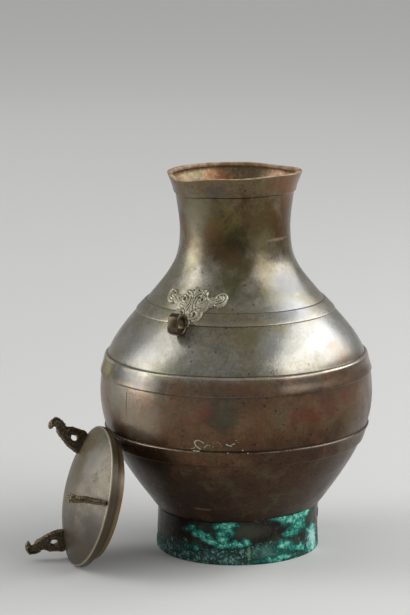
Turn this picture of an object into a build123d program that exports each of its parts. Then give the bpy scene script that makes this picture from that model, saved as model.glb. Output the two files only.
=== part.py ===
"""A bronze hu: a jar for wine on a ring foot, with two mask handles and a domed lid.

The jar stands at the origin with its foot on the floor and a mask at the front and rear.
The lid has been taken off: it stands on its rim and leans against the belly.
"""

import os
from math import cos, radians, sin, sqrt

from build123d import *

# Sizes are in millimetres and angles in degrees.

# The jar, from the floor up. Each rise is measured from the station before it.
FOOT_HEIGHT = 40.0
FOOT_FLARE = 1.4
FOOT_WALL = 4.0
CREASE_R = 75.8
CREASE_LEAN = 38.0
LOWER_RISE = 53.0
LOWER_R = 112.2
BELLY_RISE = 59.0
BELLY_R = 129.0
SHOULDER_RISE = 70.0
SHOULDER_R = 99.4
THROAT_RISE = 45.0
THROAT_R = 61.6
NECK_RISE = 41.0
NECK_R = 51.8
FLARE_RISE = 33.6
FLARE_R = 56.0
LIP_HEIGHT = 18.4
LIP_STEP = 1.4
MOUTH_R = 63.2
WALL = 3.0

# The mouth's inside, which takes the lid's flange, and the jar's bottom in its foot.
# The seat's wall is measured at the seat's bottom, where the lip is thinnest.
SEAT_WALL = 2.48
SEAT_DEPTH = 8.0
FLOOR_THICKNESS = 4.0
FLOOR_RISE = 3.0
SPIGOT_DEPTH = 7.0
SOLDER_GAP = 0.15

# The raised bands round the jar, by the height of their middle above the widest line.
BAND_PROUD = 1.3
BAND_ROOT = 1.5
LOWER_BAND_AT = -39.5
LOWER_BAND_HEIGHT = 14.8
BELLY_BAND_AT = 28.0
BELLY_BAND_HEIGHT = 16.4
SHOULDER_BAND_AT = 82.3
SHOULDER_BAND_HEIGHT = 10.1

# The masks on the shoulder, as seen from straight in front.
MASK_PROUD = 3.6
MASK_RISE = 23.5
MASK_HALF_WIDTH = 31.5
MASK_HEIGHT = 29.0
PEG_R = 3.0
PEG_HEAD_R = 5.0
PEG_HEAD = 2.0
PEG_CLEARANCE = 0.15

# The strap loop at each mask's nose.
LOOP_DROP = 20.7
LOOP_BORE_R = 6.6
LOOP_WALL = 3.6
LOOP_BACK = 2.5
LOOP_WIDTH = 10.0

# The lid, measured along its own axis from the face that sits on the mouth.
LID_OVERHANG = 2.6
LID_RIM = 6.0
LID_DOME = 16.6
LID_WALL = 3.0
FLANGE_DEPTH = 9.0
FLANGE_WALL = 3.0
FLANGE_CLEARANCE = 0.6

# Where the lid leans. Bearings turn from the front mask towards the left.
LID_LEAN = 14.8
LID_BEARING = 34.0
LID_FACING = 41.2
LID_TURN = 8.0
LID_GAP = 0.3
LID_SLIDE_STEPS = 8

# The finials on the lid, cut from plate and tenoned through the dome.
FINIAL_COUNT = 3
FINIAL_INSET = 12.8
FINIAL_HEIGHT = 33.6
FINIAL_WIDTH = 24.0
FINIAL_PLATE = 4.0
FINIAL_HOLE_R = 3.4
FINIAL_ROOT = 8.0
TENON_WIDTH = 9.0
TENON_INSET = 4.0
TENON_LENGTH = 7.5
TENON_CLEARANCE = 0.15

# Lobes of half a mask: across, up and radius, as shares of its half width and height.
MASK_LOBES = (
    (0.00, 0.26, 0.235),
    (0.27, 0.28, 0.140),
    (0.32, 0.00, 0.260),
    (0.56, 0.09, 0.150),
    (0.80, 0.15, 0.217),
    (0.27, -0.30, 0.214),
    (0.00, -0.04, 0.310),
    (0.00, -0.47, 0.215),
)

# A finial's outline, a bird with its head drawn back, as shares of its width and height:
# from the outer foot over the back and crown to the beak, then by the throat to the breast.
FINIAL_BACK = (
    (0.46, -0.13),
    (0.58, 0.13),
    (0.63, 0.29),
    (0.61, 0.50),
    (0.76, 0.60),
    (0.91, 0.79),
    (0.81, 0.92),
    (0.62, 1.00),
    (0.42, 0.95),
)
FINIAL_BREAST = (
    (0.42, 0.95),
    (0.54, 0.79),
    (0.32, 0.76),
    (0.12, 0.65),
    (-0.17, 0.47),
    (-0.39, 0.23),
    (-0.46, -0.03),
)
FINIAL_HOLE_AT = (0.18, 0.26)

crease_z = FOOT_HEIGHT
lower_z = crease_z + LOWER_RISE
belly_z = lower_z + BELLY_RISE
shoulder_z = belly_z + SHOULDER_RISE
throat_z = shoulder_z + THROAT_RISE
neck_z = throat_z + NECK_RISE
lip_z = neck_z + FLARE_RISE
mouth_z = lip_z + LIP_HEIGHT
collar_r = FLARE_R + LIP_STEP
seat_z = mouth_z - SEAT_DEPTH
seat_r = MOUTH_R - (MOUTH_R - collar_r) * SEAT_DEPTH / LIP_HEIGHT - SEAT_WALL
foot_r = CREASE_R + FOOT_FLARE
spigot_r = CREASE_R - FOOT_WALL - SOLDER_GAP
spigot_z = crease_z - SPIGOT_DEPTH


def belly_curve(grow):
    """The skin from the crease to the widest line, in radius and height."""
    crease_tangent = (sin(radians(CREASE_LEAN)), cos(radians(CREASE_LEAN)))
    stations = ((CREASE_R + grow, crease_z), (LOWER_R + grow, lower_z), (BELLY_R + grow, belly_z))
    return Spline(*stations, tangents=(crease_tangent, (0, 1)), mode=Mode.PRIVATE)


def shoulder_curve(grow):
    """The skin from the widest line to the waist of the neck."""
    stations = (
        (BELLY_R + grow, belly_z),
        (SHOULDER_R + grow, shoulder_z),
        (THROAT_R + grow, throat_z),
        (NECK_R + grow, neck_z),
    )
    return Spline(*stations, tangents=((0, 1), (0, 1)), mode=Mode.PRIVATE)


def flare_curve(grow):
    """The skin from the waist of the neck to the underside of the lip."""
    waist = (NECK_R + grow, neck_z)
    return TangentArc(waist, (FLARE_R + grow, lip_z), tangent=(0, 1), mode=Mode.PRIVATE)


def skin_at(height):
    """The skin's radius at a height between crease and neck, and its outward direction."""
    curve = belly_curve(0) if height < belly_z else shoulder_curve(0)
    below, above = 0.0, 1.0
    while above - below > 1e-9:
        middle = (below + above) / 2
        if curve.position_at(middle).Y < height:
            below = middle
        else:
            above = middle
    along = curve.tangent_at(below)
    return curve.position_at(below).X, Vector(along.Y, -along.X)


def skin_section(grow, top, bottom):
    """Half a section of the skin, closed to the axis through the points above and below it."""
    with BuildSketch(Plane.XZ) as section:
        with BuildLine():
            add(belly_curve(grow))
            add(shoulder_curve(grow))
            add(flare_curve(grow))
            Polyline((FLARE_R + grow, lip_z), *top, (0, top[-1][1]))
            Polyline((0, top[-1][1]), (0, bottom[-1][1]), *reversed(bottom), (CREASE_R + grow, crease_z))
        make_face()
    return section.sketch


# The jar as a solid lump: skin, lip collar, spigot and bands, with nothing inside.
with BuildPart() as jar_lump:
    collar = ((collar_r, lip_z), (MOUTH_R, mouth_z))
    spigot = ((spigot_r, crease_z), (spigot_r, spigot_z))
    revolve(skin_section(0, collar, spigot), axis=Axis.Z)
    for band_at, band_height in (
        (LOWER_BAND_AT, LOWER_BAND_HEIGHT),
        (BELLY_BAND_AT, BELLY_BAND_HEIGHT),
        (SHOULDER_BAND_AT, SHOULDER_BAND_HEIGHT),
    ):
        band_low = belly_z + band_at - band_height / 2
        band_high = belly_z + band_at + band_height / 2
        low_r = skin_at(band_low)[0]
        high_r = skin_at(band_high)[0]
        with BuildSketch(Plane.XZ):
            with BuildLine():
                Polyline(
                    (low_r - BAND_ROOT, band_low),
                    (low_r + BAND_PROUD, band_low),
                    (high_r + BAND_PROUD, band_high),
                    (high_r - BAND_ROOT, band_high),
                    close=True,
                )
            make_face()
        revolve(axis=Axis.Z)

# Each mask is held by a peg square to the skin, peened over inside the jar.
mask_z = shoulder_z + MASK_RISE
peg_r, peg_out = skin_at(mask_z)
front_peg = Plane(origin=(0, -peg_r, mask_z), z_dir=(0, -peg_out.X, peg_out.Y))
rear_peg = Plane(origin=(0, peg_r, mask_z), z_dir=(0, peg_out.X, peg_out.Y))
peg_reach = WALL + PEG_HEAD

# The jar: the lump hollowed to its wall, with a seat for the lid and the pegs' holes.
with BuildPart() as vessel_body:
    add(jar_lump.part)
    seat = ((seat_r, seat_z), (seat_r, mouth_z))
    floor = ((spigot_r - WALL, crease_z),)
    revolve(skin_section(-WALL, seat, floor), axis=Axis.Z, mode=Mode.SUBTRACT)
    with BuildSketch(Plane.XY.offset(crease_z)):
        Circle(CREASE_R)
    extrude(amount=FLOOR_RISE)
    with BuildSketch(Plane.XY.offset(spigot_z)):
        Circle(spigot_r - WALL)
    extrude(amount=SPIGOT_DEPTH + FLOOR_RISE - FLOOR_THICKNESS, mode=Mode.SUBTRACT)
    for peg_plane in (front_peg, rear_peg):
        with BuildSketch(peg_plane):
            Circle(PEG_R + PEG_CLEARANCE)
        extrude(amount=peg_reach, both=True, mode=Mode.SUBTRACT)
vessel_body.part.label = "vessel_body"

# The foot: a plain ring, a little wider at the floor, soldered round the jar's spigot.
with BuildPart() as foot_ring:
    with BuildSketch(Plane.XZ):
        with BuildLine():
            Polyline(
                (CREASE_R - FOOT_WALL, crease_z),
                (CREASE_R, crease_z),
                (foot_r, 0),
                (foot_r - FOOT_WALL, 0),
                close=True,
            )
        make_face()
    revolve(axis=Axis.Z)
foot_ring.part.label = "foot_ring"

# The front mask: a lobed plate laid on the skin, a strap loop and the peg.
loop_r, loop_out = skin_at(mask_z - LOOP_DROP)
loop_stand = LOOP_BORE_R + LOOP_BACK + BAND_PROUD
loop_at = (-loop_r - loop_stand * loop_out.X, mask_z - LOOP_DROP + loop_stand * loop_out.Y)
with BuildPart() as front_mask:
    with BuildSketch(Plane.XZ.offset(peg_r / 2)):
        for side in (-1, 1):
            for across, up, lobe in MASK_LOBES:
                with Locations((side * across * MASK_HALF_WIDTH, mask_z + up * MASK_HEIGHT)):
                    Circle(lobe * MASK_HEIGHT)
    extrude(amount=BELLY_R)
    shell_top = ((NECK_R, lip_z),)
    shell_bottom = ((spigot_r, crease_z),)
    revolve(skin_section(MASK_PROUD, shell_top, shell_bottom), axis=Axis.Z, mode=Mode.INTERSECT)
    with BuildSketch(Plane.YZ):
        with Locations(loop_at):
            Circle(LOOP_BORE_R + LOOP_WALL)
    extrude(amount=LOOP_WIDTH / 2, both=True)
    with BuildSketch(Plane.YZ):
        with Locations(loop_at):
            Circle(LOOP_BORE_R)
    extrude(amount=MASK_HALF_WIDTH, both=True, mode=Mode.SUBTRACT)
    add(jar_lump.part, mode=Mode.SUBTRACT)
    with BuildSketch(front_peg.offset(MASK_PROUD / 2)):
        Circle(PEG_R)
    extrude(amount=-(MASK_PROUD / 2 + peg_reach))
    with BuildSketch(front_peg.offset(-peg_reach)):
        Circle(PEG_HEAD_R)
    extrude(amount=PEG_HEAD + WALL / 2)
    add(vessel_body.part, mode=Mode.SUBTRACT)
front_mask.part.label = "front_mask"

# The rear mask is the same casting on the other side.
with BuildPart() as rear_mask:
    add(front_mask.part.rotate(Axis.Z, 180))
rear_mask.part.label = "rear_mask"

# The lid stands on the back edge of its rim, turned to its bearing and leaning in.
lid_r = MOUTH_R + LID_OVERHANG
flange_r = seat_r - FLANGE_CLEARANCE
flange_bore_r = flange_r - FLANGE_WALL
dome_z = LID_RIM + LID_DOME
facing = radians(LID_FACING)
bearing = radians(LID_BEARING)
lean = radians(LID_LEAN)


def lid_plane(reach):
    """The lid's own frame, its axis along Z and its X level, at a reach from the jar's axis."""
    stand = (-reach * sin(bearing), -reach * cos(bearing), lid_r * cos(lean))
    outward = (-sin(facing) * cos(lean), -cos(facing) * cos(lean), sin(lean))
    return Plane(origin=stand, x_dir=(cos(facing), -sin(facing), 0), z_dir=outward)


# It is slid in over the floor until it is one gap short of the belly.
low = (Align.CENTER, Align.CENTER, Align.MAX)
lid_back = Cylinder(lid_r, LID_RIM).moved(Location((0, 0, LID_RIM / 2)))
lid_back += Cylinder(flange_r, FLANGE_DEPTH, align=low)
lid_reach = BELLY_R + 2 * lid_r
for _ in range(LID_SLIDE_STEPS):
    lid_reach -= lid_back.moved(lid_plane(lid_reach).location).distance_to(jar_lump.part) - LID_GAP
lid_frame = lid_plane(lid_reach)
lid_axis = Axis(lid_frame.origin, lid_frame.z_dir)
lid_section = Plane(origin=lid_frame.origin, x_dir=lid_frame.x_dir, z_dir=-lid_frame.y_dir)

# The lid as a solid lump: dome, rim and the flange that goes into the mouth.
with BuildPart() as lid_lump:
    with BuildSketch(lid_section):
        with BuildLine():
            TangentArc((0, dome_z), (lid_r, LID_RIM), tangent=(1, 0))
            Polyline(
                (lid_r, LID_RIM),
                (lid_r, 0),
                (flange_r, 0),
                (flange_r, -FLANGE_DEPTH),
                (0, -FLANGE_DEPTH),
                (0, dome_z),
            )
        make_face()
    revolve(axis=lid_axis)

# Each finial stands in a plane through the lid's axis, its base on the dome.
finial_r = lid_r - FINIAL_INSET
dome_ball_r = (lid_r**2 + LID_DOME**2) / (2 * LID_DOME)
finial_z = dome_z - dome_ball_r + sqrt(dome_ball_r**2 - finial_r**2)
finial_planes = []
for number in range(FINIAL_COUNT):
    turn = LID_TURN + 360 * number / FINIAL_COUNT
    across = lid_frame.x_dir.rotate(Axis((0, 0, 0), lid_frame.z_dir), turn)
    base = lid_frame.origin + across * finial_r + lid_frame.z_dir * finial_z
    finial_planes.append(Plane(origin=base, x_dir=across, z_dir=across.cross(lid_frame.z_dir)))

# The lid: the lump hollowed from below, with a slot for each finial's tenon.
with BuildPart() as lid:
    add(lid_lump.part)
    with BuildSketch(lid_section):
        with BuildLine():
            TangentArc((0, dome_z - LID_WALL), (flange_bore_r, LID_RIM), tangent=(1, 0))
            Polyline(
                (flange_bore_r, LID_RIM),
                (flange_bore_r, -FLANGE_DEPTH),
                (0, -FLANGE_DEPTH),
                (0, dome_z - LID_WALL),
            )
        make_face()
    revolve(axis=lid_axis, mode=Mode.SUBTRACT)
    for finial_plane in finial_planes:
        with BuildSketch(finial_plane):
            with Locations((-TENON_INSET, 0)):
                Rectangle(TENON_WIDTH + 2 * TENON_CLEARANCE, 2 * TENON_LENGTH)
        extrude(amount=FINIAL_PLATE / 2 + TENON_CLEARANCE, both=True, mode=Mode.SUBTRACT)
lid.part.label = "lid"

# The finials: one outline cut from plate, fitted to the dome, with its tenon below.
finials = []
for number, finial_plane in enumerate(finial_planes):
    with BuildPart() as finial:
        with BuildSketch(finial_plane):
            with BuildLine():
                back = [(x * FINIAL_WIDTH, y * FINIAL_HEIGHT) for x, y in FINIAL_BACK]
                breast = [(x * FINIAL_WIDTH, y * FINIAL_HEIGHT) for x, y in FINIAL_BREAST]
                Spline(*back)
                Spline(*breast)
                Polyline(breast[-1], (breast[-1][0], -FINIAL_ROOT), (back[0][0], -FINIAL_ROOT), back[0])
            make_face()
            with Locations((FINIAL_HOLE_AT[0] * FINIAL_WIDTH, FINIAL_HOLE_AT[1] * FINIAL_HEIGHT)):
                Circle(FINIAL_HOLE_R, mode=Mode.SUBTRACT)
        extrude(amount=FINIAL_PLATE / 2, both=True)
        add(lid_lump.part, mode=Mode.SUBTRACT)
        with BuildSketch(finial_plane):
            with Locations((-TENON_INSET, 0)):
                Rectangle(TENON_WIDTH, 2 * TENON_LENGTH)
        extrude(amount=FINIAL_PLATE / 2, both=True)
        add(lid.part, mode=Mode.SUBTRACT)
    finial.part.label = f"finial_{number + 1}"
    finials.append(finial.part)

os.makedirs("parts", exist_ok=True)
for piece in (vessel_body.part, foot_ring.part, front_mask.part, rear_mask.part, lid.part, *finials):
    export_step(piece, f"parts/{piece.label}.step")
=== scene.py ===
from math import atan2, cos, degrees, hypot, pi, radians, sin, sqrt

import bpy
import numpy as np
from mathutils import Matrix, Vector, noise


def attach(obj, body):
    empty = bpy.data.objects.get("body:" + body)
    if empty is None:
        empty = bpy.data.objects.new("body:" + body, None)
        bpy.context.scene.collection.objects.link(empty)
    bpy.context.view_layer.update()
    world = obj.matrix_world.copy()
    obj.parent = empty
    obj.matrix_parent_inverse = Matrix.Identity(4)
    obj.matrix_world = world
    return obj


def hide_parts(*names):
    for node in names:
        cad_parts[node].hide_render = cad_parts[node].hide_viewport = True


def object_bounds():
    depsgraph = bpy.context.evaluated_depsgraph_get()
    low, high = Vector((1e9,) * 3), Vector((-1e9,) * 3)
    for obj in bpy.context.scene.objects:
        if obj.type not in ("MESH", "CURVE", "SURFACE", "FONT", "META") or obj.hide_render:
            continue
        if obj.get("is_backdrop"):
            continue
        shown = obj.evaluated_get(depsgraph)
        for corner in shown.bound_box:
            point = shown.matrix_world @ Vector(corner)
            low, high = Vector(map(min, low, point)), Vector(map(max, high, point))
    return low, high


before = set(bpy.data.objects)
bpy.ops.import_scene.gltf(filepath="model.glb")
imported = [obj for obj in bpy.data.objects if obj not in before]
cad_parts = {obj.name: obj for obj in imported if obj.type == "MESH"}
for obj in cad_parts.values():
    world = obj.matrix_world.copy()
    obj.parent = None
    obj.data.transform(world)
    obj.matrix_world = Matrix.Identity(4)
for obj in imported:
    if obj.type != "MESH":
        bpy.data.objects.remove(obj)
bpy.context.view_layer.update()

# Jar
# One bronze casting, wall about 3 mm, from the short spigot under its bottom to the lip.
# Half its section is drawn and turned about the axis; the three bands are cast on, and the
# lip is warped and knocked down a little at one side.
MM = 0.001
SMOOTHED_SIDES = 48
# Smoothing draws a ring of 48 sides in a little; the gain makes up for it.
SMOOTHING_GAIN = 1.0029


def turned(name, section, steps, gain=1.0):
    """A body turned about Z from half its section, given in millimetres as (radius, height)."""
    bpy.ops.object.select_all(action="DESELECT")
    bpy.ops.mesh.primitive_plane_add(size=MM)
    made = bpy.context.object
    made.name = name
    bpy.ops.object.mode_set(mode="EDIT")
    bpy.ops.mesh.merge(type="CENTER")
    bpy.ops.transform.translate(value=(section[0][0] * MM, 0, section[0][1] * MM))
    for (r, z), (next_r, next_z) in zip(section, section[1:]):
        step = ((next_r - r) * MM, 0, (next_z - z) * MM)
        bpy.ops.mesh.extrude_vertices_move(TRANSFORM_OT_translate={"value": step})
    bpy.ops.mesh.select_all(action="SELECT")
    bpy.ops.mesh.spin(steps=steps, angle=2 * pi, center=(0, 0, 0), axis=(0, 0, 1))
    bpy.ops.mesh.select_all(action="SELECT")
    bpy.ops.mesh.remove_doubles(threshold=1e-6)
    bpy.ops.transform.resize(value=(gain, gain, 1), center_override=(0, 0, 0))
    bpy.ops.mesh.normals_make_consistent(inside=False)
    bpy.ops.object.mode_set(mode="OBJECT")
    return made


def select_only(piece):
    """The piece alone selected and active."""
    bpy.ops.object.select_all(action="DESELECT")
    piece.select_set(True)
    bpy.context.view_layer.objects.active = piece


def apply_modifier(piece, kind, **settings):
    """Adds a modifier with these settings and applies it."""
    bpy.context.view_layer.objects.active = piece
    added = piece.modifiers.new(kind.lower(), kind)
    for setting, value in settings.items():
        setattr(added, setting, value)
    bpy.ops.object.modifier_apply(modifier=added.name)


jar_outside = [
    (0, 39), (40, 39), (67.4, 39), (68.5, 38.8), (68.65, 38), (68.65, 33.4), (69, 33),
    (71.2, 33), (71.65, 33.4), (71.65, 39.2), (72, 39.9), (75.2, 39.9), (75.8, 40.2),
    (78.2, 43), (82, 48), (88, 56), (93.8, 64), (99.3, 72), (104.5, 80), (109.4, 88),
    (113.8, 96), (117.4, 103.2), (118.1, 104.6), (118.5, 105.1), (119.7, 105.2),
    (120.1, 105.8), (121.2, 108.6), (122.4, 112.4), (123.9, 116.6), (125.2, 118.8),
    (125.6, 119.6), (125.4, 120.2), (124.6, 120.5), (124.2, 120.9), (124.5, 122), (126.3, 128),
    (127.8, 136), (128.7, 144), (129, 152), (128.7, 160), (127.9, 167.4), (127.4, 170.6),
    (127.2, 171.6), (128.4, 171.7), (128.5, 172.3), (127.6, 175.6), (126, 180),
    (125.1, 184.4), (124.6, 186.4), (124.1, 187.6), (123.3, 188.4), (122.3, 188.7),
    (121.5, 188.8), (121, 189.8), (119.3, 194), (116, 200), (112.1, 206), (107.6, 212),
    (102.8, 218), (98.5, 223), (94.4, 227.7), (93.3, 228.9), (92.9, 229.3), (93.8, 229.8),
    (93.4, 230.5), (89.3, 234.9), (85.3, 238.9), (84.6, 239.6), (83.7, 239.3),
    (83.2, 240), (82, 241.4), (78, 246), (72.9, 252), (68, 258), (63.6, 264),
    (59.8, 270), (56.7, 276), (54.6, 282), (52.9, 290), (52, 299), (51.8, 307),
    (52.2, 316), (53.3, 326), (55.2, 338), (55.7, 340.8), (56, 341.5), (57.1, 341.7),
    (57.5, 342.2), (57.8, 343.4), (58.6, 347), (60.6, 352.4), (62.6, 357.6), (63.1, 359),
    (62.9, 359.7), (62.2, 360), (59.2, 360), (58.4, 359.7), (58.2, 359),
]
jar_inside = [
    (58.2, 357.6), (58.4, 357), (58.6, 356.4), (58.4, 354), (57.7, 351.6), (56, 348),
    (53.2, 341.6), (50.6, 326), (48.8, 307), (49.9, 290), (53.7, 276), (60.6, 264),
    (69.9, 252), (79.9, 240), (99.8, 218), (116.3, 194), (124.8, 168), (126, 152),
    (121, 120), (115.1, 105), (96.3, 72), (85, 56), (76, 44.2), (74.6, 43.2), (72, 43), (0, 43),
]
jar = turned("jar_casting", jar_outside + jar_inside, SMOOTHED_SIDES, SMOOTHING_GAIN)

# Marks for the material: the inside, the lip, the ledges (painted pale partly for wear, partly as
# painted highlight) and the corners (painted shade).
outside_z = [z for r, z in jar_outside if z > 40]
outside_r = [r for r, z in jar_outside if z > 40]
for place in ("inside", "lip", "ledge", "corner"):
    jar.data.attributes.new(place, "FLOAT", "POINT")
marks = jar.data.attributes
corners = (
    (127.2, 171.6), (118.5, 105.1), (92.9, 229.3), (83.7, 239.3), (56, 341.5), (121.5, 188.8),
    (124.2, 120.9))
# Each ledge: from which height to which it is painted pale, for wear and as a painted highlight, and how
# much.
ledges = ((119, 120.4, 0.45), (187.4, 188.75, 0.9), (229.6, 230.6, 0.25), (239.5, 239.7, 0.25))
for vertex in jar.data.vertices:
    x, y, z = vertex.co / MM
    r = hypot(x, y)
    depth = float(np.interp(z, outside_z, outside_r)) - r
    if 42 < z < 355:
        marks["inside"].data[vertex.index].value = min(max((depth - 1.6) / 1.2, 0), 1)
    marks["lip"].data[vertex.index].value = float(z > 359.4 or (z > 356.6 and depth > 2))
    nearest = min(hypot(r / SMOOTHING_GAIN - corner_r, z - corner_z) for corner_r, corner_z in corners)
    marks["corner"].data[vertex.index].value = float(nearest < 0.1)
    for bottom, top, ledge_paling in ledges:
        if depth < 1.5 and bottom < z < top:
            marks["ledge"].data[vertex.index].value = ledge_paling


def push(piece, at, by, reach):
    """Moves the vertex nearest to a place, and its neighbours within reach, in millimetres."""
    place = Vector(at) * MM
    bpy.ops.object.select_all(action="DESELECT")
    bpy.context.view_layer.objects.active = piece
    bpy.ops.object.mode_set(mode="EDIT")
    bpy.ops.mesh.select_all(action="DESELECT")
    bpy.ops.object.mode_set(mode="OBJECT")
    nearest = min(piece.data.vertices, key=lambda v: (v.co - place).length)
    nearest.select = True
    bpy.ops.object.mode_set(mode="EDIT")
    bpy.ops.transform.translate(
        value=Vector(by) * MM, use_proportional_edit=True,
        proportional_edit_falloff="SMOOTH", proportional_size=reach * MM)
    bpy.ops.object.mode_set(mode="OBJECT")


push(jar, (-23, -58.8, 360), (0, 0, -3.6), 40)
push(jar, (58.5, -23.8, 360), (0, 0, 1.4), 36)
push(jar, (19, 60, 360), (0, 0, -1.4), 40)
apply_modifier(jar, "SUBSURF", levels=2, render_levels=2)
push(jar, (-31, -54, 357.6), (0.5, 0.8, -1.6), 6)
cast_waves = bpy.data.textures.new("cast_waves", "CLOUDS")
cast_waves.noise_scale = 0.045
apply_modifier(jar, "DISPLACE", texture=cast_waves, texture_coords="LOCAL", strength=0.0008)


def from_curve(name, curve):
    """The curve made a mesh."""
    drawn = bpy.data.objects.new(name, curve)
    bpy.context.collection.objects.link(drawn)
    select_only(drawn)
    bpy.ops.object.convert(target="MESH")
    return bpy.context.object


def add_line(curve, points, closed):
    """A smooth line through points in millimetres, drawn into a curve."""
    spline = curve.splines.new("BEZIER")
    spline.bezier_points.add(len(points) - 1)
    for bend, place in zip(spline.bezier_points, points):
        bend.co = Vector(place).to_3d() * MM
        bend.handle_left_type = bend.handle_right_type = "AUTO"
    spline.use_cyclic_u = closed
    spline.resolution_u = 10


def strand(name, points, thick):
    """A round ridge along a line in millimetres."""
    line = bpy.data.curves.new(name, "CURVE")
    line.dimensions = "3D"
    line.bevel_depth = thick * MM
    line.bevel_resolution = 3
    line.use_fill_caps = True
    add_line(line, points, False)
    return from_curve(name, line)


def join(pieces, name):
    """Several meshes made one."""
    select_only(pieces[0])
    for piece in pieces[1:]:
        piece.select_set(True)
    bpy.ops.object.join()
    bpy.context.object.name = name
    return bpy.context.object


def mark_all(piece, name):
    """A mark of this name on the whole piece, for its material."""
    mark = piece.data.attributes.new(name, "FLOAT", "POINT")
    for vertex in piece.data.vertices:
        mark.data[vertex.index].value = 1.0


# Lime left by ground water: thin crusts on the belly, as lines of bearing and height.
crumbs = bpy.data.textures.new("crumbs", "CLOUDS")
crumbs.noise_scale = 0.0012


def on_skin(line):
    """Places on the jar's skin, in millimetres, from bearings and heights."""
    places = []
    for bearing, z in line:
        r = float(np.interp(z, outside_z, outside_r))
        places.append((r * sin(radians(bearing)), -r * cos(radians(bearing)), z))
    return places


limes = []
for thick, line in (
        (0.5, ((15.1, 122.5), (13.9, 124.6), (13.1, 126.6), (13, 129.7), (14.4, 131.7))),
        (0.35, ((14.4, 131.7), (15.9, 130.1), (16.7, 129))),
        (0.25, ((10.8, 122.4), (12.5, 124), (13.2, 125.6))),
        (0.35, ((16.6, 124), (17.4, 125.9), (18.2, 127.3))),
        (0.3, ((18.6, 127), (19, 126.8), (19.3, 126.8))),
        (0.45, ((25.8, 128.4), (27, 127.3), (28.1, 126.6))),
        (0.35, ((28.1, 126.8), (28.6, 128.5), (29.6, 129))),
        (0.6, ((11.8, 120.7), (13.2, 120.6), (14.7, 120.6)))):
    limes.append(strand("lime", on_skin(line), thick))
for bearing, z, thick in (
        (20.5, 125.6, 0.25), (20.6, 129.4, 0.25), (22.5, 130.1, 0.3), (23.4, 128.9, 0.25),
        (24, 126.5, 0.25), (30.1, 132.1, 0.3), (30.9, 130.3, 0.25), (32.7, 122.4, 0.6),
        (34.8, 119.8, 0.45), (26.6, 119.9, 0.45), (-6, 139.4, 0.4)):
    crumb = ((bearing - 0.2, z), (bearing, z + 0.1), (bearing + 0.2, z))
    limes.append(strand("lime", on_skin(crumb), thick))
lime = join(limes, "lime")
apply_modifier(lime, "DISPLACE", texture=crumbs, texture_coords="LOCAL", strength=0.0006)
mark_all(lime, "lime")
# A casting seam runs up the belly.
seam_line = ((-21.2, 144), (-21.5, 152), (-21.3, 161), (-21.5, 170))
seam = strand("seam", on_skin(seam_line), 0.36)
jar = join([jar, lime, seam], "jar_casting")
bpy.ops.object.shade_smooth()


def put(tree, kind, inputs=None, **settings):
    """Adds a node; an input is given as a value or as the socket that feeds it."""
    added = tree.nodes.new(kind)
    for setting, value in settings.items():
        setattr(added, setting, value)
    for socket, value in (inputs or {}).items():
        if isinstance(value, bpy.types.NodeSocket):
            tree.links.new(value, added.inputs[socket])
        else:
            added.inputs[socket].default_value = value
    return added


def sum_of(tree, operation, a, b=0.0):
    """One step of arithmetic."""
    return put(tree, "ShaderNodeMath", {0: a, 1: b}, operation=operation).outputs[0]


def ramp(tree, value, low, high, at_low=0.0, at_high=1.0):
    """A smooth climb from at_low to at_high as the value goes from low to high."""
    climb = {"Value": value, "From Min": low, "From Max": high, "To Min": at_low, "To Max": at_high}
    return put(tree, "ShaderNodeMapRange", climb, interpolation_type="SMOOTHSTEP").outputs[0]


def over(tree, share, under, top, how="MIX"):
    """One colour laid over another."""
    laid = {0: share, 6: under, 7: top}
    return put(tree, "ShaderNodeMix", laid, data_type="RGBA", blend_type=how).outputs[2]


def noise_of(tree, point, scale, detail=4.0, rough=0.6, twist=0.0):
    """The value of a noise texture."""
    sizes = {"Vector": point, "Scale": scale, "Detail": detail, "Roughness": rough, "Distortion": twist}
    return put(tree, "ShaderNodeTexNoise", sizes).outputs[0]


def tone(red, green, blue):
    """A colour read off a screen, 0 to 255, as Blender's linear colour."""
    return [((c / 255 + 0.055) / 1.055) ** 2.4 for c in (red, green, blue)] + [1.0]


def group(name, takes, gives):
    """An empty node group with these sockets: its tree, what it is given and what it makes."""
    tree = bpy.data.node_groups.new(name, "ShaderNodeTree")
    for socket, kind in takes:
        tree.interface.new_socket(socket, in_out="INPUT", socket_type="NodeSocket" + kind)
    for socket, kind in gives:
        tree.interface.new_socket(socket, in_out="OUTPUT", socket_type="NodeSocket" + kind)
    return tree, tree.nodes.new("NodeGroupInput").outputs, tree.nodes.new("NodeGroupOutput").inputs


# Old bronze: one colour clouded with another, red cuprite in blots, a fine grain and pits.
patina, given, made = group(
    "patina",
    (("Point", "Vector"), ("Ground", "Color"), ("Cloud", "Color"), ("Red", "Color"),
     ("Red Share", "Float")),
    (("Color", "Color"), ("Rough", "Float"), ("Height", "Float")))
clouds = noise_of(patina, given["Point"], 15.0, 7.0, 0.66, 0.5)
blots = noise_of(patina, given["Point"], 30.0, 9.0, 0.74, 0.3)
grain = noise_of(patina, given["Point"], 380.0, 6.0, 0.75)
dust = noise_of(patina, given["Point"], 1700.0, 2.0)
pit_place = ramp(patina, noise_of(patina, given["Point"], 38.0, 4.0), 0.53, 0.68)
pit = put(patina, "ShaderNodeTexVoronoi", {"Vector": given["Point"], "Scale": 280.0}).outputs["Distance"]
pits = sum_of(patina, "MULTIPLY", ramp(patina, pit, 0.34, 0.16), pit_place)
mottle = noise_of(patina, given["Point"], 62.0, 9.0, 0.76, 0.15)
shade = over(patina, ramp(patina, clouds, 0.36, 0.64), given["Ground"], given["Cloud"])
reds = ramp(patina, sum_of(patina, "ADD", blots, given["Red Share"]), 0.55, 0.76)
shade = over(patina, sum_of(patina, "MULTIPLY", reds, 0.8), shade, given["Red"])
greens = ramp(patina, noise_of(patina, given["Point"], 44.0, 8.0, 0.72, 0.2), 0.5, 0.66, 0.0, 0.45)
shade = over(patina, greens, shade, tone(84, 84, 56))
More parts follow.
